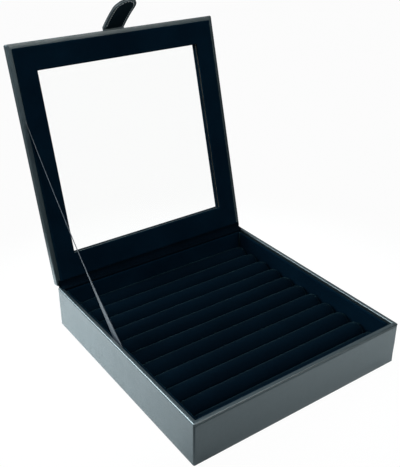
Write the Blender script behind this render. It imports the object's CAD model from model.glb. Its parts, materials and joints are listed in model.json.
import json
import math
import bpy
import numpy as np
from mathutils import Matrix, Vector


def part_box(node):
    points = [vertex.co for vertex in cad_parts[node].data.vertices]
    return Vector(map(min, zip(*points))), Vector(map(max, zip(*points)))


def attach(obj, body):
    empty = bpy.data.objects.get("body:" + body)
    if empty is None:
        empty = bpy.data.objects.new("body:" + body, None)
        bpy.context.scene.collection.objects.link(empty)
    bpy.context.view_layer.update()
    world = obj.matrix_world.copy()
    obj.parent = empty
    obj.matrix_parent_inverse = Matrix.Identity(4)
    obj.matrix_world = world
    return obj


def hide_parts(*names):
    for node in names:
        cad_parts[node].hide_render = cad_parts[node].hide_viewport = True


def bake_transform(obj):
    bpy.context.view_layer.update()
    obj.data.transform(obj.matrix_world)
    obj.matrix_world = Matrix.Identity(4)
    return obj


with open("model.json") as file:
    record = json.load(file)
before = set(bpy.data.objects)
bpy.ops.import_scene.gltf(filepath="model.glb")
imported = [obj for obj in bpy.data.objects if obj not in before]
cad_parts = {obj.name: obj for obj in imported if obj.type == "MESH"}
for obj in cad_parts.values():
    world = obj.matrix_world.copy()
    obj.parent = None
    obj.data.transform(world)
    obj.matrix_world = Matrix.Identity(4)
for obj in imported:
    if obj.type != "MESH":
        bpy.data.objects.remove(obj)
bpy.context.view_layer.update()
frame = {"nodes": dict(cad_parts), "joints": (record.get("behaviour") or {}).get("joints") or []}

mm = 0.001
joints = {joint["name"]: joint for joint in frame["joints"]}

# The case as the frame gives it, in metres
caseLow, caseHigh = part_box("base_wrap")
lidPivot = Vector(joints["lid_hinge"]["pos_m"])
openAngle = math.radians(joints["lid_hinge"]["range_deg"][1])

camera = {
    "place": (-0.33362, -0.43339, 0.40908),
    "forward": (0.51157, 0.71759, -0.47261),
    "up": (0.27088, 0.3873, 0.88126),
    "lens": 55.14,
    "sensor": 36.0,
}


def makeCamera(c):
    forward = Vector(c["forward"]).normalized()
    up = Vector(c["up"])
    right = forward.cross(up).normalized()
    up = right.cross(forward)
    data = bpy.data.cameras.new("camera")
    data.lens = c["lens"]
    data.sensor_fit = "AUTO"
    data.sensor_width = c["sensor"]
    data.clip_start = 0.01
    data.clip_end = 100.0
    cameraObject = bpy.data.objects.new("camera", data)
    turn = Matrix((right, up, -forward)).transposed().to_4x4()
    cameraObject.matrix_world = Matrix.Translation(c["place"]) @ turn
    bpy.context.scene.collection.objects.link(cameraObject)
    bpy.context.scene.camera = cameraObject


makeCamera(camera)
print("camera made")


# Shader maths: a socket that takes + - and *, and nodes made by one method

class Wire:
    def __init__(self, finish, socket):
        self.finish, self.socket = finish, socket

    def maths(self, operation, a, b, clamp=False):
        settings = {"operation": operation, "use_clamp": clamp}
        return self.finish.node("ShaderNodeMath", settings, {0: a, 1: b})

    def __add__(self, other):
        return self.maths("ADD", self, other)

    def __radd__(self, other):
        return self.maths("ADD", other, self)

    def __sub__(self, other):
        return self.maths("SUBTRACT", self, other)

    def __rsub__(self, other):
        return self.maths("SUBTRACT", other, self)

    def __mul__(self, other):
        return self.maths("MULTIPLY", self, other)

    def __rmul__(self, other):
        return self.maths("MULTIPLY", other, self)

    def clip(self):
        return self.maths("ADD", self, 0.0, True)  # held between 0 and 1


# A tree of nodes being wired: a new material's, or the world's
class Finish:
    def __init__(self, name, world=None):
        self.material = world or bpy.data.materials.new(name)
        self.material.use_nodes = True
        self.tree = self.material.node_tree
        self.output = self.tree.nodes["World Output" if world else "Material Output"]
        self.shader = self.output.inputs["Surface"].links[0].from_node

    def node(self, kind, settings=None, values=None, out=0):
        made = self.tree.nodes.new(kind)
        for key, value in (settings or {}).items():
            setattr(made, key, value)
        for key, value in (values or {}).items():
            self.feed(made.inputs[key], value)
        return Wire(self, made.outputs[out])

    def feed(self, socket, value):
        if isinstance(value, Wire):
            self.tree.links.new(value.socket, socket)
        elif socket.type == "RGBA" and len(value) == 3:
            socket.default_value = (*value, 1.0)
        else:
            socket.default_value = value

    def set(self, **values):
        for key, value in values.items():
            self.feed(self.shader.inputs[key.replace("_", " ")], value)
        return self

    # Another shader takes the place of the first, which stays only where it is still linked
    def surface(self, shader):
        self.tree.links.new(shader.socket, self.output.inputs["Surface"])
        if not self.shader.outputs[0].links:
            self.tree.nodes.remove(self.shader)

    def place(self, scale=(1.0, 1.0, 1.0)):
        coordinates = self.node("ShaderNodeTexCoord", out="Object")
        return self.node("ShaderNodeMapping", {}, {"Vector": coordinates, "Scale": scale})

    def uv(self, scale=(1.0, 1.0, 1.0)):
        coordinates = self.node("ShaderNodeUVMap", {"uv_map": "UVMap"})
        return self.node("ShaderNodeMapping", {}, {"Vector": coordinates, "Scale": scale})

    def noise(self, where, scale, detail=3.0, roughness=0.5):
        values = {"Vector": where, "Scale": scale, "Detail": detail, "Roughness": roughness}
        return self.node("ShaderNodeTexNoise", {}, values)

    def cells(self, where, scale):
        return self.node("ShaderNodeTexVoronoi", {"feature": "F1"},
                         {"Vector": where, "Scale": scale}, "Distance")

    def ease(self, value, start, end):
        return self.node("ShaderNodeMapRange", {"interpolation_type": "SMOOTHSTEP"},
                         {"Value": value, "From Min": start, "From Max": end})

    def blend(self, share, low, high):
        return self.node("ShaderNodeMix", {"data_type": "RGBA"}, {0: share, 6: low, 7: high}, 2)

    def bump(self, height, distance, strength=1.0, under=None):
        values = {"Height": height, "Distance": distance, "Strength": strength}
        if under is not None:
            values["Normal"] = under
        return self.node("ShaderNodeBump", {}, values)


# Finishes

leatherLook = {
    "dark": (0.002, 0.0034, 0.0042), "light": (0.0046, 0.0072, 0.0086),
    "pebble": 1500.0, "grainDepth": 0.00011,  # the raised grain
    "pores": 4200.0, "poreDepth": 0.00004,
    "sway": 38.0, "swayDepth": 0.0006,  # the covering's slow waves over the boards
    "streaks": 55.0, "streakDepth": 0.0009,  # upright streaks, drawn out along the wall's height
    "ripple": 160.0, "rippleDepth": 0.0003,
    "smooth": 0.32, "rough": 0.46, "specular": 0.8, "tint": (0.81, 0.94, 1.0, 1.0),
    "coat": 0.85, "coatRough": 0.2,  # the clear top coat
}


def leatherFinish(name, look):
    f = Finish(name)
    where = f.place()
    pebble = f.cells(where, look["pebble"])
    pores = f.noise(where, look["pores"], 2.0)
    sway = f.noise(where, look["sway"], 3.0)
    grain = (1.0 - pebble * 1.3).clip()
    colour = f.blend((grain * 0.6 + sway * 0.4).clip(), look["dark"], look["light"])
    rough = look["smooth"] + (look["rough"] - look["smooth"]) * (1.0 - grain * 0.8)
    streaks = f.noise(f.place((1.0, 1.0, 0.12)), look["streaks"], 2.0)
    ripple = f.noise(where, look["ripple"], 2.0)
    upright = f.bump(streaks, look["streakDepth"], 0.3)
    uneven = f.bump(ripple, look["rippleDepth"], 0.3, upright)
    low = f.bump(sway, look["swayDepth"], 0.25, uneven)
    mid = f.bump(grain, look["grainDepth"], 0.8, low)
    fine = f.bump(pores, look["poreDepth"], 0.6, mid)
    f.set(Base_Color=colour, Roughness=rough.clip(), Normal=fine)
    f.set(Specular_IOR_Level=look["specular"], Specular_Tint=look["tint"])
    f.set(Coat_Weight=look["coat"], Coat_Roughness=look["coatRough"], Coat_Normal=low)
    f.set(Coat_Tint=look["tint"])
    return f.material


velvetLook = {
    "dark": (0.0001, 0.0026, 0.0060), "light": (0.0006, 0.0052, 0.0108),
    "nap": 26.0, "napDepth": 0.0007,  # where the pile lies this way or that
    "pile": 5200.0, "pileDepth": 0.00022,  # single tufts
    "lint": 900.0,
    "sheen": 0.06, "sheenRough": 0.22, "sheenTint": (0.28, 0.6, 0.68, 1.0),
}


def velvetFinish(name, look, tone=1.0, stretch=(1.0, 1.0, 1.0)):
    f = Finish(name)
    dark, light = (tuple(tone * v for v in look[key]) for key in ("dark", "light"))
    where = f.place(stretch)
    nap = f.noise(where, look["nap"], 4.0, 0.55)
    pile = f.noise(where, look["pile"], 2.0, 0.6)
    lint = f.noise(where, look["lint"], 2.0, 0.5)
    share = ((nap - 0.35) * 1.6 + (pile - 0.5) * 0.7 + (lint - 0.5) * 0.3).clip()
    low = f.bump(nap, look["napDepth"], 0.4)
    fine = f.bump(pile, look["pileDepth"], 0.7, low)
    f.set(Base_Color=f.blend(share, dark, light), Normal=fine)
    f.set(Roughness=(0.86 + 0.1 * nap).clip(), Specular_IOR_Level=0.02)
    f.set(Sheen_Weight=look["sheen"], Sheen_Roughness=look["sheenRough"])
    f.set(Sheen_Tint=look["sheenTint"])
    return f.material


satinLook = {
    "dark": (0.018, 0.023, 0.031), "light": (0.048, 0.058, 0.076),
    "threads": 260.0, "picks": 3.2, "depth": 0.00005,  # warp across the width, weft along it
}


def satinFinish(name, look):
    f = Finish(name)
    across = f.uv((look["threads"], look["picks"], 1.0))
    warp = f.node("ShaderNodeTexWave", {"wave_type": "BANDS", "bands_direction": "X"},
                  {"Vector": across, "Scale": 0.5, "Distortion": 0.4, "Detail": 1.0}, "Fac")
    slub = f.noise(f.uv((40.0, 4.0, 1.0)), 3.0, 3.0)
    share = (warp * 0.5 + slub * 0.5).clip()
    f.set(Base_Color=f.blend(share, look["dark"], look["light"]))
    f.set(Roughness=(0.28 + 0.16 * slub).clip(), Normal=f.bump(warp, look["depth"], 0.5))
    f.set(Specular_IOR_Level=0.8)
    return f.material


def threadFinish(name):
    f = Finish(name)
    where = f.place()
    ply = f.node("ShaderNodeTexWave", {"wave_type": "BANDS", "bands_direction": "DIAGONAL"},
                 {"Vector": where, "Scale": 1400.0, "Distortion": 0.5}, "Fac")
    f.set(Base_Color=f.blend(ply, (0.35, 0.38, 0.4), (0.7, 0.74, 0.76)))
    f.set(Roughness=(0.5 + 0.1 * ply).clip(), Normal=f.bump(ply, 0.00008, 0.6))
    return f.material


def cardFinish(name, dark, light):
    f = Finish(name)
    where = f.place()
    fibre = f.noise(where, 900.0, 4.0, 0.6)
    cloud = f.noise(where, 60.0, 2.0)
    share = (fibre * 0.6 + cloud * 0.4).clip()
    f.set(Base_Color=f.blend(share, dark, light), Roughness=(0.8 + 0.15 * fibre).clip())
    f.set(Normal=f.bump(fibre, 0.00006, 0.5))
    return f.material


def metalFinish(name, tone):
    f = Finish(name)
    brush = f.noise(f.place((1.0, 20.0, 1.0)), 400.0, 3.0)
    f.set(Base_Color=tone, Metallic=1.0, Roughness=(0.3 + 0.2 * brush).clip())
    f.set(Normal=f.bump(brush, 0.00002, 0.4))
    return f.material


# Clear glass: light goes straight through, and the face mirrors more at a slant
def glassFinish(name):
    f = Finish(name)
    smear = f.noise(f.place(), 14.0, 3.0)
    clear = f.node("ShaderNodeBsdfTransparent", {}, {"Color": (0.997, 1.0, 0.998)})
    gloss = f.node("ShaderNodeBsdfGlossy", {}, {"Roughness": 0.03})
    slant = f.node("ShaderNodeFresnel", {}, {"IOR": 1.45})
    behind = f.node("ShaderNodeNewGeometry", out="Backfacing")  # light on its way out isn't mirrored
    share = (slant * (0.3 + 0.06 * smear) * (1.0 - behind)).clip()
    f.surface(f.node("ShaderNodeMixShader", {}, {0: share, 1: clear, 2: gloss}))
    return f.material


# The tab's lining: leatherette round the edge and matt suede within the seam. Its U is the
# distance from the outline, in millimetres.
def tabLiningFinish(name, look, seam):
    f = Finish(name)
    where = f.place()
    fromEdge = f.node("ShaderNodeSeparateXYZ", {}, {0: f.uv()}, "X")
    within = f.ease(fromEdge, seam - 0.1, seam + 0.5)
    pebble = f.cells(where, look["pebble"])
    nap = f.noise(where, look["nap"], 3.0)
    edge = f.blend(pebble, look["edgeLight"], look["edgeDark"])
    f.set(Base_Color=f.blend(within, edge, f.blend(nap, look["suedeDark"], look["suedeLight"])))
    f.set(Roughness=(look["smooth"] + 0.5 * within).clip())
    f.set(Coat_Weight=(1.0 - within) * look["coat"])
    f.set(Specular_IOR_Level=0.08, Specular_Tint=look["tint"], Coat_Roughness=look["coatRough"])
    f.set(Coat_Tint=look["tint"], Normal=f.bump(pebble, look["grainDepth"], 0.6))
    return f.material


leather = leatherFinish("blackLeatherette", leatherLook)
tabLook = {
    **leatherLook, "pebble": 1900.0, "smooth": 0.42, "nap": 700.0,
    "edgeDark": (0.04, 0.046, 0.05), "edgeLight": (0.11, 0.12, 0.125),
    "suedeDark": (0.0008, 0.005, 0.009), "suedeLight": (0.0025, 0.0105, 0.017),
}
tabLeather = leatherFinish("tabLeatherette", tabLook)
tabLining = tabLiningFinish("tabLining", tabLook, 2.6)
velvet = velvetFinish("blackVelvet", velvetLook)
lidVelvet = velvetFinish("lidVelvet", velvetLook, 1.3)
linerVelvet = velvetFinish("linerVelvet", velvetLook, 1.35)
tapeVelvet = velvetFinish("tapeVelvet", velvetLook, 0.55)
rollLook = {**velvetLook, "sheen": 0.05, "sheenRough": 0.28, "sheenTint": (0.3, 0.6, 0.64, 1.0)}
rollVelvet = velvetFinish("rollVelvet", rollLook, 0.8, (0.35, 1.0, 1.0))
blackCard = cardFinish("blackCard", (0.0006, 0.0022, 0.004), (0.0016, 0.0045, 0.0075))
satin = satinFinish("satinRibbon", satinLook)
thread = threadFinish("greyThread")
greyBoard = cardFinish("greyBoard", (0.16, 0.13, 0.10), (0.34, 0.29, 0.23))
blackPaper = cardFinish("blackPaper", (0.012, 0.012, 0.014), (0.03, 0.03, 0.034))
edgePaint = cardFinish("edgePaint", (0.006, 0.007, 0.008), (0.016, 0.018, 0.02))
plainSteel = metalFinish("plainSteel", (0.55, 0.55, 0.57))
clearGlass = glassFinish("clearGlass")
print("finishes made")


# Surfaces from grids of points. The faces of a grid of rows and columns, closed round either
# way where asked.
def gridFaces(rows, columns, roundRows, roundColumns):
    r = np.arange(rows if roundRows else rows - 1)[:, None]
    c = np.arange(columns if roundColumns else columns - 1)[None, :]
    r2, c2 = (r + 1) % rows, (c + 1) % columns
    corners = [r * columns + c, r * columns + c2, r2 * columns + c2, r2 * columns + c]
    return np.stack(np.broadcast_arrays(*corners), -1).reshape(-1, 4)


# A closed piece: a grid of rings, with a fan to a middle point where an end is open.
# The volume under the faces gives the side that points outwards.
def closedPiece(name, points, material, ends=True, uv=None):
    rows, columns = points.shape[:2]
    faces = gridFaces(rows, columns, not ends, True).tolist()
    flat = points.reshape(-1, 3)
    if ends:
        middles = np.stack([points[0].mean(0), points[-1].mean(0)])
        flat = np.concatenate([flat, middles])
        n = rows * columns
        following = [(c + 1) % columns for c in range(columns)]
        faces += [[n, following[c], c] for c in range(columns)]
        last = (rows - 1) * columns
        faces += [[n + 1, last + c, last + following[c]] for c in range(columns)]
    first = np.array([face[:3] for face in faces])
    second = np.array([[face[0], *face[2:]] for face in faces if len(face) == 4])
    a, b, c = flat[np.concatenate([first, second])].transpose(1, 0, 2)
    volume = (a * np.cross(b, c)).sum()
    if volume < 0:
        faces = [face[::-1] for face in faces]
    return meshPiece(name, flat, faces, material, uv)


def meshPiece(name, flat, faces, material, uv=None):
    mesh = bpy.data.meshes.new(name)
    mesh.from_pydata(flat.tolist(), [], faces)
    mesh.update()
    if uv is not None:
        layer = mesh.uv_layers.new(name="UVMap")
        corner = np.zeros(len(mesh.loops), np.int32)
        mesh.loops.foreach_get("vertex_index", corner)
        layer.data.foreach_set("uv", uv[corner].astype(np.float32).ravel())
    mesh.shade_smooth()
    mesh.materials.append(material)
    piece = bpy.data.objects.new(name, mesh)
    bpy.context.scene.collection.objects.link(piece)
    return piece


def finished(piece, body, slotName, *nodes):
    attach(piece, body)
    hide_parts(*nodes)
    return piece


# Points of an arc in a profile, from one angle to another in degrees
def arc(x, z, radius, start, end, count=6):
    a = np.radians(np.linspace(start, end, count))
    return np.stack([x + radius * np.cos(a), z + radius * np.sin(a)], -1)


def line(*points, count=2):
    p = np.array(points, float)
    t = np.linspace(0, len(p) - 1, (len(p) - 1) * (count - 1) + 1)
    return np.stack([np.interp(t, np.arange(len(p)), p[:, k]) for k in range(p.shape[1])], -1)


# A profile carried round a rectangle with round corners. Each profile point says how far it
# lies inside the outer rectangle, or outside the inner one where its share is 1, and its height.
# The corner's radius shrinks by the inset. Straight sides get extra points, and one close to
# each corner that keeps the sides flat in the shading.
def carriedRound(outer, inner, share, inset, height, radius, cornerSteps=9, sideSteps=14):
    signs = np.array([[1, 1], [-1, 1], [-1, -1], [1, -1]])
    starts = np.radians([0, 90, 180, 270])
    close = 0.0025  # share of a side from its corner to the point beside it
    share, inset, height = (np.asarray(v, float)[:, None] for v in (share, inset, height))
    sides = {}
    for key, k in (("x0", 1), ("x1", -1), ("y0", 1), ("y1", -1)):
        sides[key] = (1 - share) * (outer[key] + k * inset) + share * (inner[key] - k * inset)
    r = np.maximum(radius - inset, 0.3 * mm) * (1 - share) + share * 0.6 * mm
    rings = []
    for (sx, sy), start in zip(signs, starts):
        cx = (sides["x1"] if sx > 0 else sides["x0"]) - sx * r
        cy = (sides["y1"] if sy > 0 else sides["y0"]) - sy * r
        a = start + np.linspace(0, math.pi / 2, cornerSteps)[None, :]
        heights = np.broadcast_to(height, (len(r), cornerSteps))
        rings.append(np.stack([cx + r * np.cos(a), cy + r * np.sin(a), heights], -1))
    parts = []
    for k in range(4):
        here, there = rings[k][:, -1:], rings[(k + 1) % 4][:, :1]
        t = np.linspace(0, 1, sideSteps + 2)[1:-1]
        t = np.concatenate([[close], t, [1 - close]])[None, :, None]
        parts += [rings[k], here + (there - here) * t]
    return np.concatenate(parts, 1)


# Turns points of the closed lid to where it stands open at rest
def opened(points):
    c, s = math.cos(-openAngle), math.sin(-openAngle)
    y, z = points[..., 1] - lidPivot.y, points[..., 2] - lidPivot.z
    turned = points.copy()
    turned[..., 1] = lidPivot.y + y * c - z * s
    turned[..., 2] = lidPivot.z + y * s + z * c
    return turned


# Base

base = {
    "halfWidth": caseHigh.x, "halfDepth": caseHigh.y, "foot": caseLow.z, "rim": caseHigh.z,
    "cover": 0.8 * mm, "rimWidth": 4.05 * mm, "edge": 1.5 * mm, "rimEdge": 0.9 * mm,
    "footEdge": 0.7 * mm, "turnIn": 16 * mm, "rimTurnIn": 14 * mm, "sway": 0.10 * mm,
    "crease": 0.32 * mm, "creaseDown": 2.1 * mm, "creaseWidth": 0.42 * mm,  # along the front wall
    "mitre": 0.12 * mm, "mitreSharp": 4e5,  # the rim's folded corners
}


# The covering's section: up inside the rim, over its round edges, down the wall and under the
# base, then back along the boards one thickness inside. It is carried round the case.
def makeCaseLeather(b):
    top, foot, t = b["rim"], b["foot"], b["cover"]
    rim, low = b["rimWidth"], b["rim"] - b["rimTurnIn"]
    profile = np.concatenate([
        line((rim, low), (rim, top - b["rimEdge"]), count=4),
        arc(rim - b["rimEdge"], top - b["rimEdge"], b["rimEdge"], 10, 90),
        line((rim - b["rimEdge"], top), (b["edge"], top), count=3)[1:],
        arc(b["edge"], top - b["edge"], b["edge"], 100, 180, 8),
        line((0, top - b["edge"]), (0, top - 2 * b["edge"]), count=9)[1:],
        line((0, top - 2 * b["edge"]), (0, foot + b["footEdge"]), count=8)[1:],
        arc(b["footEdge"], foot + b["footEdge"], b["footEdge"], 190, 270, 5),
        line((b["footEdge"], foot), (b["turnIn"], foot), (b["turnIn"], foot + t),
             (t, foot + t), (t, top - t), (rim - t, top - t), (rim - t, low))[1:],
    ])
    outer = {"x0": -b["halfWidth"], "x1": b["halfWidth"],
             "y0": -b["halfDepth"], "y1": b["halfDepth"]}
    inset, height = profile.T
    points = carriedRound(outer, outer, np.zeros_like(inset), inset, height, b["edge"], 9, 40)
    inset = inset[:, None]
    x, y, z = points[..., 0], points[..., 1], points[..., 2]
    soft = np.sin(x * 41 + 1) * np.sin(z * 120) + np.sin(y * 37 + 2) * np.cos(z * 90)
    wall = (z > foot + 2 * mm) & (z < top - 2 * mm) & (inset < t / 2)
    away = np.stack([x / b["halfWidth"], y / b["halfDepth"]], -1)
    away = np.where(np.abs(away) > 0.99, np.sign(away), 0)
    points[..., :2] -= away * (np.abs(soft) * wall * b["sway"])[..., None]
    front = (inset < t / 2) & (y < -b["halfDepth"] + 0.3 * mm)
    down = (z - top + b["creaseDown"]) / b["creaseWidth"]
    points[..., 1] += front * b["crease"] * np.exp(-down ** 2)
    offX = (np.abs(x) + inset) / b["halfWidth"] - 1
    offY = (np.abs(y) + inset) / b["halfDepth"] - 1
    mitre = np.exp(-(offX ** 2 + offY ** 2) * b["mitreSharp"])
    points[..., 2] -= mitre * (z > top - 0.3 * mm) * b["mitre"]
    finished(closedPiece("caseLeather", points, leather, ends=False),
             "base", "leatherette", "base_wrap")


makeCaseLeather(base)

liner = {"swell": 0.15 * mm, "steps": 60, "outward": 0.5 * mm}  # outward: back to the wall


# A velvet liner: a slab with a half-round top, swelling a little between its ends
def makeLiner(name, node, look):
    low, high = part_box(node)
    along = 0 if high.x - low.x > high.y - low.y else 1
    across = 1 - along
    middle = (high[across] + low[across]) / 2
    inward = -math.copysign(1.0, middle)
    middle -= inward * look["outward"] / 2
    thick = high[across] - low[across] + look["outward"]
    r = thick / 2
    section = np.concatenate([
        line((r, low.z), (r, high.z - r), count=8),
        arc(0, high.z - r, r, 0, 180, 10)[1:-1],
        line((-r, high.z - r), (-r, low.z), count=8)])
    t = np.linspace(0, 1, look["steps"])[:, None]
    place = low[along] + (high[along] - low[along]) * t
    wave = np.sin(place * 61 + section[None, :, 1] * 80) * np.sin(place * 23 + 1)
    grow = look["swell"] * wave * np.sin(math.pi * t) * (section[None, :, 0] > 0)
    points = np.zeros((look["steps"], len(section), 3))
    points[..., along] = place
    points[..., across] = middle + inward * (section[None, :, 0] + np.minimum(grow, 0))
    points[..., 2] = section[None, :, 1]
    return finished(closedPiece(name, points, linerVelvet), "base", "velvet", node)


for side in ("front", "back", "left", "right"):
    makeLiner(side + "LinerVelvet", side + "_liner", liner)

floorCloth = {"sag": 0.22 * mm, "columns": 60}


# The velvet on the insert card: a thin slab whose face dips between the rolls and the liners
def makeFloorCloth(look):
    low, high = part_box("insert_velvet")
    n = look["columns"]
    x = np.linspace(low.x, high.x, n)
    y = np.linspace(low.y, high.y, n)
    gx, gy = np.meshgrid(x, y, indexing="ij")
    dip = look["sag"] * (0.5 + 0.5 * np.sin(gx * 83) * np.sin(gy * 71))
    top = np.stack([gx, gy, high.z - dip], -1)
    bottom = np.stack([gx, gy, np.full_like(gx, low.z)], -1)
    points = np.concatenate([top, bottom[:, ::-1]], 1)
    cloth = finished(closedPiece("insertVelvet", points, velvet), "base", "velvet", "insert_velvet")


makeFloorCloth(floorCloth)
print("base and lining made")

# Ring rolls

roll = {
    "rows": 120, "around": 44, "crown": 11.5 * mm, "crownShare": 0.6,
    "endFall": 3.5 * mm, "endRun": 13 * mm, "endRound": 3.2 * mm, "endDraw": 0.06,
    "footDraw": 0.1, "dip": 24.0,  # how far the round goes down past the widest place, in degrees
    "pucker": 0.5 * mm, "puckerRun": 9 * mm, "foldDraw": 0.012,
    "sway": 0.35 * mm, "inset": 0.05 * mm,
}


# A padded roll: an elliptic crown on drawn-in sides over a flat foot. The crest falls on an
# ellipse towards the ends, whose faces round in; the cloth sways along it and puckers there.
def makeRoll(index, look):
    node = "ring_roll_%02d" % index
    low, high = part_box(node)
    half, middle = (high.x - low.x) / 2, (high.y + low.y) / 2
    width, tall = (high.y - low.y) / 2 - look["inset"], high.z - low.z
    chance = np.random.default_rng(40 + index)
    phase = chance.uniform(0, 6.28, 6)
    s = np.linspace(-1, 1, look["rows"])
    reach = half + look["endRound"] * (math.pi / 2 - 1)
    d = np.abs(s) * reach
    turn = np.clip((d - (half - look["endRound"])) / look["endRound"], 0, math.pi / 2)
    x = np.where(turn > 0, half - look["endRound"] * (1 - np.sin(turn)), d) * np.sign(s)
    inset = look["endRound"] * (1 - np.cos(turn))
    u = np.clip((np.abs(x) - (half - look["endRun"])) / look["endRun"], 0, 0.9985)
    fall = look["endFall"] * (1 - np.sqrt(1 - u ** 2))
    a = (width - inset - width * look["endDraw"] * fall / look["endFall"])[:, None]
    top = (tall - fall - inset)[:, None]
    b = np.minimum(look["crown"], top * look["crownShare"])
    p = np.radians(np.linspace(-look["dip"], 180 + look["dip"], look["around"]))[None, :]
    y, z = a * np.cos(p), top - b + b * np.sin(p)
    wave = (np.sin(x * 47 + phase[0]) + 0.6 * np.sin(x * 113 + phase[1]))[:, None]  # slow and quick
    crest = np.clip(np.sin(p), 0, 1)
    z = z + look["sway"] * (wave * 0.35 - 0.5) * crest ** 2
    near = np.exp(-((np.abs(x) - half) / look["puckerRun"]) ** 2)[:, None]
    folds = np.sin(p * 9 + phase[2]) * np.sin(p * 5 + phase[3])
    y = y * (1 - look["foldDraw"] * near * np.abs(folds))
    z = z - look["pucker"] * near * np.abs(folds) * crest
    foot = a * (1 - look["footDraw"])
    y = np.concatenate([foot, y, -foot], 1)
    z = np.concatenate([0 * foot, np.maximum(z, 0), 0 * foot], 1)
    points = np.stack([np.broadcast_to(x[:, None], y.shape), middle + y, low.z + z], -1)
    piece = finished(closedPiece("ringRoll%02d" % index, points, rollVelvet),
                     "base", "padded_velvet", node)


rollCount = sum(name.startswith("ring_roll_") for name in frame["nodes"])
for index in range(1, rollCount + 1):
    makeRoll(index, roll)
print("ring rolls made")

# Lid, built closed and then opened

lid = {
    "halfWidth": caseHigh.x, "front": -112 * mm, "back": caseHigh.y,
    "inside": caseHigh.z + 0.4 * mm, "thick": 7.6 * mm, "cover": 0.8 * mm,
    "edge": 1.5 * mm, "innerEdge": 0.9 * mm, "windowEdge": 0.8 * mm,
    "windowHalf": 86.5 * mm, "windowFront": -86.2 * mm, "windowBack": 85.8 * mm,
    "glass": 2 * mm, "rebate": 5.8 * mm, "sway": 0.08 * mm,
    "leatherRows": 4,  # rows of the window's round edge that stay leather
}
lid["outside"] = lid["inside"] + lid["thick"]
lidOuter = {"x0": -lid["halfWidth"], "x1": lid["halfWidth"], "y0": lid["front"], "y1": lid["back"]}
lidWindow = {"x0": -lid["windowHalf"], "x1": lid["windowHalf"],
             "y0": lid["windowFront"], "y1": lid["windowBack"]}


# The lid's covering: up the window's reveal, over the outer face and the round edges, along the
# border inside to the glass, and back one thickness inside
def makeLidLeather(c):
    z0, z1, t = c["inside"], c["outside"], c["cover"]
    e, ie, we = c["edge"], c["innerEdge"], c["windowEdge"]

    def withShare(share, points):
        return np.concatenate([np.full((len(points), 1), float(share)), points], 1)

    window = np.concatenate([line((0, z0 + c["glass"]), (0, z1 - we), count=4),
                             arc(we, z1 - we, we, 170, 90)])
    face = line((1, we, z1), (0, e, z1), count=8)[1:-1]
    outside = np.concatenate([arc(e, z1 - e, e, 90, 180, 8),
                              line((0, z1 - e), (0, z0 + ie), count=5)[1:],
                              arc(ie, z0 + ie, ie, 190, 270)])
    border = line((0, ie, z0), (1, c["rebate"], z0), count=8)[1:]
    backwards = np.array([(1, c["rebate"], z0 + t), (0, t, z0 + t), (0, t, z1 - t),
                          (1, t, z1 - t), (1, t, z0 + c["glass"])])
    profile = np.concatenate([withShare(1, window), face, withShare(0, outside), border, backwards])
    share, inset, height = profile.T
    points = carriedRound(lidOuter, lidWindow, share, inset, height, e, 9, 40)
    sway = np.sin(points[..., 0] * 53) * np.sin(points[..., 1] * 47)
    points[..., 2] -= (points[..., 2] > z1 - 0.01 * mm) * np.abs(sway) * c["sway"]
    piece = closedPiece("lidLeather", opened(points), leather, ends=False)
    piece.data.materials.append(velvet)  # the window's reveal is flocked like the lining
    reveal = np.repeat(np.arange(len(profile)), points.shape[1]) < len(window) - c["leatherRows"]
    piece.data.polygons.foreach_set("material_index", reveal.astype(np.int32))
    finished(piece, "lid", "leatherette", "lid_wrap")


makeLidLeather(lid)

panel = {
    "border": 4.15 * mm, "thick": 1.8 * mm, "cloth": 0.6 * mm,
    "edge": 1.2 * mm, "windowEdge": 0.9 * mm, "swell": 0.2 * mm,
}


# The velvet of the lid's panel: round outer and window edges and a face that swells a little
def makePanelVelvet(c):
    z0, z1, t = lid["inside"], lid["inside"] - c["thick"], c["cloth"]
    e, we = c["edge"], c["windowEdge"]
    outer = {key: value + c["border"] * (1 if key.endswith("0") else -1)
             for key, value in lidOuter.items()}
    outside = [(0, x, z) for x, z in arc(e, z1 + e, e, 180, 270, 7)]
    inside = [(1, x, z) for x, z in arc(we, z1 + we, we, 270, 180, 7)]
    face = [tuple(p) for p in line((0, e, z1), (1, we, z1), count=12)[1:-1]]
    underCloth = [(1, 0, z0), (1, t, z0), (1, t, z1 + t), (0, t, z1 + t), (0, t, z0)]
    profile = np.array([(0, 0, z0)] + outside + face + inside + underCloth)
    share, inset, height = profile.T
    points = carriedRound(outer, lidWindow, share, inset, height, 1 * mm, 7, 60)
    middle = np.sin(math.pi * profile[:, 0:1]) * (profile[:, 2:3] < z1 + 0.01 * mm)
    wave = 0.6 + 0.4 * np.sin(points[..., 0] * 70) * np.sin(points[..., 1] * 60)
    points[..., 2] += c["swell"] * middle * wave
    finished(closedPiece("lidPanelVelvet", opened(points), lidVelvet, ends=False),
             "lid", "velvet", "panel_velvet")


makePanelVelvet(panel)
print("lid made")

# Tab: a leather tab that runs from the lid's outer face over the fold to its round tip

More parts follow.
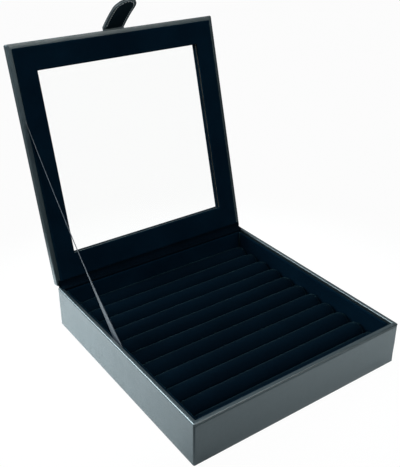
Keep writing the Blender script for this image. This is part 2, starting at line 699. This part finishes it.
tab = {
    "halfWidth": 11.5 * mm, "x": 1.5 * mm, "length": 45 * mm, "tip": 15 * mm, "root": 25.6 * mm,
    "angle": math.radians(57), "curl": math.radians(11), "leather": 0.7 * mm, "core": 1.2 * mm,
    "seam": 2.6 * mm, "seamDepth": 0.16 * mm, "seamWidth": 0.4 * mm,
    "edge": 0.9 * mm, "edgeShare": 0.25, "cushion": 0.25 * mm, "cushionRun": 4 * mm,
    "foldGap": 1.4 * mm, "foldZone": 1.3 * mm, "foldReach": 1.2 * mm,  # the fold at the lid's edge
    "rows": 90, "columns": 25,
}
tab["thick"] = 2 * tab["leather"] + tab["core"]
tab["foldY"] = lid["front"] - tab["foldGap"] - tab["thick"] / 2
tab["foldZ"] = lid["outside"] + tab["thick"] / 2
tab["radius"] = tab["length"] / tab["curl"]
tab["end"] = tab["length"] + tab["foldZone"]


# Place on the tab: how far along from the root side of the fold, how far across and how high
# over its middle. Behind the fold it lies flat, in the fold it turns about the fold's axis,
# and beyond it follows a ring about the bend's axis.
def onTab(along, across, height):
    zone, turn = tab["foldZone"], tab["angle"]
    a = turn * np.clip(along / zone, 0, 1)
    free = np.maximum(along - zone, 0)
    bend = turn + tab["curl"] * free / tab["length"]
    radius = tab["radius"]
    bendY = tab["foldY"] + radius * math.sin(turn)
    bendZ = tab["foldZ"] - radius * math.cos(turn)
    y = np.where(along > zone, bendY - (radius + height) * np.sin(bend),
                 tab["foldY"] - np.minimum(along, 0) - height * np.sin(a))
    z = np.where(along > zone, bendZ + (radius + height) * np.cos(bend),
                 tab["foldZ"] + height * np.cos(a))
    return opened(np.stack(np.broadcast_arrays(tab["x"] + across, y, z), -1))


# Half width of the tab at places along it, with an ellipse at its tip and, where the layer
# has one, another at its root
def tabHalf(along, start, rootTip):
    half = np.full_like(along, tab["halfWidth"])
    tipPast, rootPast = along - tab["end"] + tab["tip"], start + rootTip - along
    for past, tip in ((tipPast, tab["tip"]), (rootPast, rootTip)):
        if tip:
            u = np.clip(past / tip, 0, 1)
            half *= np.sqrt(np.maximum(1 - u ** 2, 0))
    return half


# Distance from points on the flat tab to its outline
def edgeDistance(along, across, start, rootTip):
    a = np.linspace(start, tab["end"], 400)
    half = tabHalf(a, start, rootTip)
    outline = np.concatenate([np.stack([a, half], -1), np.stack([a, -half], -1)])
    gap = np.stack([along, across], -1).reshape(-1, 1, 2) - outline[None]
    return np.sqrt((gap ** 2).sum(-1)).min(1).reshape(along.shape)


# One layer of the tab between two heights: its outer side falls to a thin round edge,
# and a shallow groove takes the seam
def makeTabLayer(name, low, high, start, rootTip, material, outward):
    end, tip = tab["end"], tab["tip"]
    tipPlaces = end - tip * (1 - np.sin(np.linspace(0, math.pi / 2, 26)))
    along = np.concatenate([np.linspace(start, end - tip, tab["rows"])[:-1], tipPlaces])
    if rootTip:
        head = start + rootTip * (1 - np.cos(np.linspace(0, math.pi / 2, 16)))
        along = np.concatenate([head, along[along > head[-1] + 0.5 * mm]])
    half = np.maximum(tabHalf(along, start, rootTip), 0.05 * mm)
    across = np.sin(np.linspace(-1, 1, tab["columns"]) * math.pi / 2)[None, :] * half[:, None]
    gridAlong = np.broadcast_to(along[:, None], across.shape)
    far = edgeDistance(gridAlong, across, start, rootTip)
    if not rootTip:
        far = np.minimum(far, half[:, None] - np.abs(across))
    rise = np.clip(far / tab["edge"], 0, 1)
    crown = tab["edgeShare"] + (1 - tab["edgeShare"]) * np.sqrt(1 - (1 - rise) ** 2)
    groove = np.exp(-((far - tab["seam"]) / tab["seamWidth"]) ** 2) * tab["seamDepth"]
    puff = tab["cushion"] * np.clip((far - tab["seam"]) / tab["cushionRun"], 0, 1)
    skin = (high - low) * crown - groove + puff
    if outward > 0:
        upper, lower = low + skin, np.full_like(skin, low)
    else:
        upper, lower = np.full_like(skin, high), high - skin
    topSide = onTab(gridAlong, across, upper)
    bottomSide = onTab(gridAlong, across, lower)
    points = np.concatenate([topSide, bottomSide[:, ::-1]], 1)
    fromEdge = np.concatenate([far, far[:, ::-1]], 1) / mm
    uv = np.stack([fromEdge, np.broadcast_to(along[:, None], fromEdge.shape)], -1).reshape(-1, 2)
    return closedPiece(name, points, material, uv=np.concatenate([uv, [[0, start], [0, end]]]))


inner = tab["thick"] / 2
outerTab = makeTabLayer("tabOuterLeather", tab["core"] / 2, inner, -tab["root"], tab["tip"] / 2,
                        tabLeather, 1)
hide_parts("tab_root", "tab_outer")
foldStart = opened(np.array([tab["x"], tab["foldY"] + tab["foldReach"], tab["foldZ"]]))
foldEnd = onTab(np.array(tab["foldZone"] + tab["foldReach"]), 0.0, 0.0)
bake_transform(outerTab)

innerTab = makeTabLayer("tabInnerLeather", -inner, -tab["core"] / 2, tab["foldZone"] + 0.2 * mm, 0,
                        tabLining, -1)
finished(innerTab, "tab", "leatherette", "tab_inner")

stitch = {
    "pitch": 3.0 * mm, "length": 2.2 * mm, "radius": 0.24 * mm, "sides": 6, "steps": 7,
    "from": 3 * mm,  # first stitch from the fold
    "sunk": 0.04 * mm,
}


# The seam's line on the flat tab: up one side, round the tip and down the other
def seamLine(start, end, tip, count=200):
    side, tipIn = tab["halfWidth"] - tab["seam"], tip - tab["seam"]
    straight = np.linspace(start, end - tip, count)
    a = np.linspace(math.pi, 0, count)
    along = np.concatenate([straight, end - tip + tipIn * np.sin(a), straight[::-1]])
    across = np.concatenate([np.full(count, -side), side * np.cos(a), np.full(count, side)])
    step = np.concatenate([[0], np.cumsum(np.hypot(np.diff(along), np.diff(across)))])
    return step, along, across


# A stitch is a slim capsule whose ends dip into the leather; all of a seam are one mesh
def makeStitches(name, start, end, tip, height, outward, body, flip=False):
    step, lineAlong, lineAcross = seamLine(start, end, tip)
    n, m = stitch["steps"], stitch["sides"]
    slim = np.sqrt(np.maximum(1 - np.linspace(-1, 1, n) ** 4, 0.02))[:, None]
    a = np.linspace(0, 2 * math.pi, m, endpoint=False)[None]
    r = stitch["radius"] * slim
    lift = height + outward * (r * np.sin(a) - stitch["radius"] * 0.5 * (1 - slim))
    inOrder = (outward < 0) != flip  # whether the faces point outwards as they are numbered
    vertices, faces = [], []
    for k in range(int(step[-1] // stitch["pitch"])):
        t = np.linspace(-0.5, 0.5, n) * stitch["length"] + (k + 0.5) * stitch["pitch"]
        along, across = np.interp(t, step, lineAlong), np.interp(t, step, lineAcross)
        ahead = np.stack([np.gradient(along), np.gradient(across)])
        ahead /= np.hypot(*ahead)
        gridAlong = along[:, None] - ahead[1][:, None] * r * np.cos(a)
        gridAcross = across[:, None] + ahead[0][:, None] * r * np.cos(a)
        vertices.append(onTab(-gridAlong if flip else gridAlong, gridAcross, lift).reshape(-1, 3))
        first = k * n * m
        sides = (gridFaces(n, m, False, True) + first).tolist()
        startCap = list(range(first, first + m))
        endCap = list(range(first + (n - 1) * m, first + n * m))
        if inOrder:
            faces += sides + [startCap[::-1], endCap]
        else:
            faces += [face[::-1] for face in sides] + [startCap, endCap[::-1]]
    piece = meshPiece(name, np.concatenate(vertices), faces, thread)
    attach(piece, body)


seamFrom, seamHeight = tab["foldZone"] + stitch["from"], inner - stitch["sunk"]
makeStitches("tabInnerStitches", seamFrom, tab["end"], tab["tip"], -seamHeight, -1, "tab")
makeStitches("tabOuterStitches", seamFrom, tab["end"], tab["tip"], seamHeight, 1, "tab")
makeStitches("tabRootStitches", stitch["from"], tab["root"], tab["tip"] / 2, seamHeight, 1, "lid", True)
print("tab made")

# Stay ribbon: from its slot in the base up to its slot in the lid

ribbon = {
    "width": 11 * mm, "thick": 0.4 * mm, "x": -105.1 * mm, "sag": 5 * mm, "slack": 0.4 * mm,
    "base": 107 * mm, "lid": 148 * mm, "footZ": 39.8 * mm, "tuck": 11 * mm,  # from the hinge
    "twist": math.radians(19.5), "twistFrom": -0.12, "twistTo": 0.4,  # shares of its way
    "bow": 0.5 * mm, "cup": 0.25 * mm, "selvedge": 0.8, "weave": 0.7, "cutFrom": 0.9,
    "rows": 120, "columns": 9,
    "turnMiddle": 0.38, "turnHalf": 0.45,  # where it turns from base to lid, spread over its way
}


# The ribbon follows a shallow arc under its straight way and turns about its own line over
# the lower part of it. Its lid end is cut aslant, along the lid's inside, and its edges are
# a little thicker, like a woven selvedge.
def makeRibbon(c):
    start = np.array([0, lid["back"] - c["base"], c["footZ"]])
    end = opened(np.array([0, lid["back"] - c["lid"], lid["inside"]]))
    way = end - start
    span = np.linalg.norm(way)
    forward = way / span
    up = np.array([0, -forward[2], forward[1]])
    s = np.linspace(-c["tuck"] / span, 1.0, c["rows"])[:, None]
    t = np.clip(s, 0, 1)
    middle = start + forward * s * span - up * c["sag"] * 4 * t * (1 - t)
    ease = np.clip((t - c["twistFrom"]) / (c["twistTo"] - c["twistFrom"]), 0, 1)
    twist = -c["twist"] * ease ** 2 * (3 - 2 * ease)
    meet = math.pi - openAngle - math.atan2(forward[2], forward[1])
    aslant = np.clip((t - c["cutFrom"]) / (1 - c["cutFrom"]), 0, 1) ** 2 / math.tan(meet)
    v = np.linspace(-1, 1, c["columns"])[None, :]
    w = v * c["width"] / 2
    face = (middle[:, None] + up * (np.cos(twist) * w)[..., None]
            + forward * (aslant * w)[..., None])
    face[..., 0] = c["x"] + np.sin(twist) * w
    face[..., 0] += (c["bow"] + c["cup"] * (1 - v ** 2)) * np.sin(math.pi * t)
    half = c["thick"] / 2 * np.where(np.abs(v) > c["selvedge"], 1.0, c["weave"])
    near, far = face.copy(), face.copy()
    near[..., 0] -= half
    far[..., 0] += half
    points = np.concatenate([near, far[:, ::-1]], 1)
    u = np.concatenate([v, v[:, ::-1]], 1) * 0.5 + 0.5
    uv = np.stack(np.broadcast_arrays(u, s), -1).reshape(-1, 2)
    uv = np.concatenate([uv, [[0.5, 0.0], [0.5, 1.0]]])
    piece = closedPiece("stayRibbon", points, satin, uv=uv)
    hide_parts("stay_ribbon")
    foot = start + [c["x"], 0, 0]
    tuple(foot + way * (c["turnMiddle"] - c["turnHalf"]))
    tuple(foot + way * (c["turnMiddle"] + c["turnHalf"]))
    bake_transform(piece)


makeRibbon(ribbon)

# Hinge: the leatherette strip outside and the velvet tape inside

backFace = caseHigh.y - lidPivot.y  # the back wall's place, seen from the hinge axis
strip = {
    "halfWidth": 107 * mm, "thick": 0.7 * mm, "down": 18 * mm, "over": 14 * mm,
    "free": 0.4 * mm, "corner": 0.5 * mm, "rows": 60,
    "turnFrom": (-0.3 * mm, -0.3 * mm), "turnTo": (0.6 * mm, 0.2 * mm),  # about the axis
}


# The strip's section: up the back wall, round the hinge axis, along the lid's back edge and
# over its outer face, given as its middle line and one thickness
def makeHingeStrip(c):
    y, z = lidPivot.y, lidPivot.z
    top, corner = lid["outside"] + c["thick"] / 2, c["corner"]
    climb = line((y, caseHigh.z - c["down"]), (y, z - c["free"]), count=8)
    lidPart = np.concatenate([
        line((0, y, z + c["free"]), (0, y, top - corner), count=5),
        line((0, y - corner, top), (0, y - c["over"], top), count=6)])
    middle = np.concatenate([climb, [[y, z]], opened(lidPart)[:, 1:]])
    ahead = np.gradient(middle, axis=0)
    ahead /= np.linalg.norm(ahead, axis=1)[:, None]
    outward = np.stack([ahead[:, 1], -ahead[:, 0]], -1)
    half = np.full((len(middle), 1), c["thick"] / 2)
    half[[0, -1]] /= 2  # thin ends
    section = np.concatenate([middle + outward * half, (middle - outward * half)[::-1]])
    points = np.zeros((c["rows"], len(section), 3))
    points[..., 0] = np.linspace(-c["halfWidth"], c["halfWidth"], c["rows"])[:, None]
    points[..., 1:] = section[None]
    piece = closedPiece("hingeStrip", points, leather)
    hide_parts("hinge_strip")
    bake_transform(piece)


makeHingeStrip(strip)

tape = {
    "halfWidth": 108.2 * mm, "rim": 6.1 * mm, "drop": 3.0 * mm,  # over the rim, behind the liner
    "border": 5.0 * mm, "thick": 0.2 * mm, "swell": 0.1 * mm, "edge": 0.9 * mm,
    "inner": 0.4 * mm, "fold": 2.4 * mm, "turnHalf": 0.45 * mm,  # the fold at the axis
    "bend": 20, "rows": 80,
}


# The velvet tape inside the hinge: from behind the liner over the rim, round the hinge axis
# and along the lid's border. Its section is given about that axis: the side that touches the
# boards, then the pile side back again.
def makeHingeVelvet(c):
    low, r0 = caseHigh.z - lidPivot.z, c["inner"]
    rim, border = backFace - c["rim"], backFace - c["border"]
    top = low + c["thick"] + c["swell"]
    cosine, sine = math.cos(-openAngle), math.sin(-openAngle)

    def onLid(points):
        return np.array(points) @ np.array([[cosine, sine], [-sine, cosine]])

    turns = math.pi - np.linspace(0, openAngle, c["bend"])
    inRim = rim - 0.05 * mm
    under = np.concatenate([[[inRim, low - c["drop"]], [inRim, low], [-r0, low]],
                            r0 * np.stack([np.cos(turns), np.sin(turns)], -1),
                            onLid([[-r0, -low], [border, -low]])])
    # The pile rounds the fold: an arc that meets the lid and the rim at the fold's reach
    bow = c["fold"] * math.tan(openAngle / 2)
    sweep = np.linspace(math.pi / 2 - openAngle, -math.pi / 2, c["bend"])
    meet = -c["fold"] - top * math.tan((math.pi - openAngle) / 2)
    fold = np.array([meet, top + bow]) + bow * np.stack([np.cos(sweep), np.sin(sweep)], -1)
    outer, e = rim - 0.3 * mm, c["edge"]
    lidEnd = onLid([[border + 0.05 * mm, -top + 0.1 * mm], [border + 0.5 * mm, -top]])
    pile = np.concatenate([lidEnd, fold, arc(outer + e, top - e, e, 90, 180, 6),
                           [[outer, low - c["drop"]]]])
    section = np.concatenate([under, pile])
    points = np.zeros((c["rows"], len(section), 3))
    points[..., 0] = np.linspace(-c["halfWidth"], c["halfWidth"], c["rows"])[:, None]
    points[..., 1] = lidPivot.y + section[None, :, 0]
    points[..., 2] = lidPivot.z + section[None, :, 1]
    piece = closedPiece("hingeVelvet", points, tapeVelvet)
    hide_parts("hinge_tape")
    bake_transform(piece)


makeHingeVelvet(tape)
print("ribbon and hinge made")

# Finishes of the CAD nodes that stay

boards = (
    "insert_board", "floor_board", "front_wall_board", "back_wall_board", "left_wall_board",
    "right_wall_board", "lid_front_rail", "lid_back_rail", "lid_left_rail", "lid_right_rail",
)
nodeFinishes = {
    "bottom_cover": blackPaper, "catch_plate": plainSteel, "tab_magnet": plainSteel,
    "tab_core": edgePaint, "panel_board": blackCard, "window_pane": clearGlass,
    **dict.fromkeys(boards, greyBoard),
}
for name, material in nodeFinishes.items():
    frame["nodes"][name].data.materials.clear()
    frame["nodes"][name].data.materials.append(material)

# Studio: a white sheet under and behind the case, dim in front, and soft lamps

studio = {
    "floorSize": 14.0, "floorTone": 0.8, "floorGlow": 0.97,  # the white sheet and its own light
    "sheet": 0.2, "sheetEnd": 0.34, "farTone": 0.05,  # beyond the sheet the floor is dark
    "aslant": 0.6, "dimTone": 0.18, "dimFrom": -0.4, "dimTo": 0.05,
    "spot": (-0.155, -0.155, 0.0), "spotTone": 0.1, "spotFrom": 0.02, "spotTo": 0.09,
    "front": 0.02, "back": 0.45, "tint": (0.88, 0.98, 1.0),  # light from around
    "levelFrom": -0.5, "levelTo": 0.6,
}
lamps = {  # place, aim, width and height, power and colour
    "leftPanel": ((-1.0, 0.75, 0.8), (-0.25, 0.1, 0.0), (1.0, 0.9), 40.0, (0.88, 0.98, 1.0)),
    "topPanel": ((0.1, 0.0, 1.7), (0.0, 0.0, 0.0), (1.5, 1.2), 15.0, (0.92, 0.99, 1.0)),
    "frontPanel": ((-0.6, -1.4, 1.4), (0.0, 0.0, 0.1), (1.0, 0.9), 27.0, (0.9, 0.98, 1.0)),
    "rimPanel": ((0.8, -1.3, 1.2), (0.0, 0.0, 0.1), (0.8, 0.6), 9.0, (1.0, 1.0, 0.94)),
}


# The floor shows itself white to the camera. What the case mirrors of it fades from the sheet
# to the dark beyond, and is dimmer in front and close to the left front corner.
def makeFloor(c):
    size = c["floorSize"] / 2
    corners = np.array([[-size, -size, 0], [size, -size, 0], [size, size, 0], [-size, size, 0]])
    f = Finish("whiteFloor")
    ray = f.node("ShaderNodeLightPath", out="Is Camera Ray")
    glow = f.node("ShaderNodeEmission", {}, {"Color": (1.0, 1.0, 1.0), "Strength": 1.0})
    where = f.node("ShaderNodeTexCoord", out="Object")
    away = f.node("ShaderNodeVectorMath", {"operation": "LENGTH"}, {0: where}, "Value")
    along = f.node("ShaderNodeVectorMath", {"operation": "DOT_PRODUCT"},
                   {0: where, 1: (c["aslant"], 1.0, 0.0)}, "Value")
    fromSpot = f.node("ShaderNodeVectorMath", {"operation": "DISTANCE"},
                      {0: where, 1: c["spot"]}, "Value")
    past = f.ease(away, c["sheet"], c["sheetEnd"])
    rising = f.ease(along, c["dimFrom"], c["dimTo"])
    clear = f.ease(fromSpot, c["spotFrom"], c["spotTo"])
    tone, far, dim, spot = (3 * (c[key],) for key in ("floorTone", "farTone", "dimTone", "spotTone"))
    shade = f.blend(past, f.blend(clear, spot, f.blend(rising, dim, tone)), far)
    flat = f.node("ShaderNodeBsdfDiffuse", {}, {"Color": shade})
    f.surface(f.node("ShaderNodeMixShader", {}, {0: ray * c["floorGlow"], 1: flat, 2: glow}))
    meshPiece("floor", corners, [[0, 1, 2, 3]], f.material)


# The surround is plain white to the camera and through the glass, and elsewhere a tint that
# rises from the front to the back
def makeSurround(c):
    world = bpy.data.worlds.new("surround")
    bpy.context.scene.world = world
    f = Finish("surround", world)
    seen = f.node("ShaderNodeMath", {"operation": "MAXIMUM"}, {
        0: f.node("ShaderNodeLightPath", out="Is Camera Ray"),
        1: f.node("ShaderNodeLightPath", out="Is Transmission Ray")})
    side = f.node("ShaderNodeTexCoord", out="Generated")
    level = f.node("ShaderNodeMapRange", {"interpolation_type": "SMOOTHSTEP"}, {
        "Value": f.node("ShaderNodeSeparateXYZ", {}, {0: side}, "Y"),
        "From Min": c["levelFrom"], "From Max": c["levelTo"],
        "To Min": c["front"], "To Max": c["back"]})
    tinted = Wire(f, f.set(Color=c["tint"], Strength=level).shader.outputs[0])
    plain = f.node("ShaderNodeBackground", {}, {"Color": (1.0, 1.0, 1.0)})
    f.surface(f.node("ShaderNodeMixShader", {}, {0: seen, 1: tinted, 2: plain}))


def makeLamp(name, place, aim, size, power, colour):
    data = bpy.data.lights.new(name, "AREA")
    data.shape = "RECTANGLE"
    data.size, data.size_y = size
    data.energy = power
    data.color = colour
    lamp = bpy.data.objects.new(name, data)
    lamp.location = place
    lamp.rotation_euler = (Vector(aim) - Vector(place)).to_track_quat("-Z", "Y").to_euler()
    bpy.context.scene.collection.objects.link(lamp)


makeFloor(studio)
makeSurround(studio)
for name, settings in lamps.items():
    makeLamp(name, *settings)
bpy.context.scene.view_settings.view_transform = "Standard"
print("studio made")
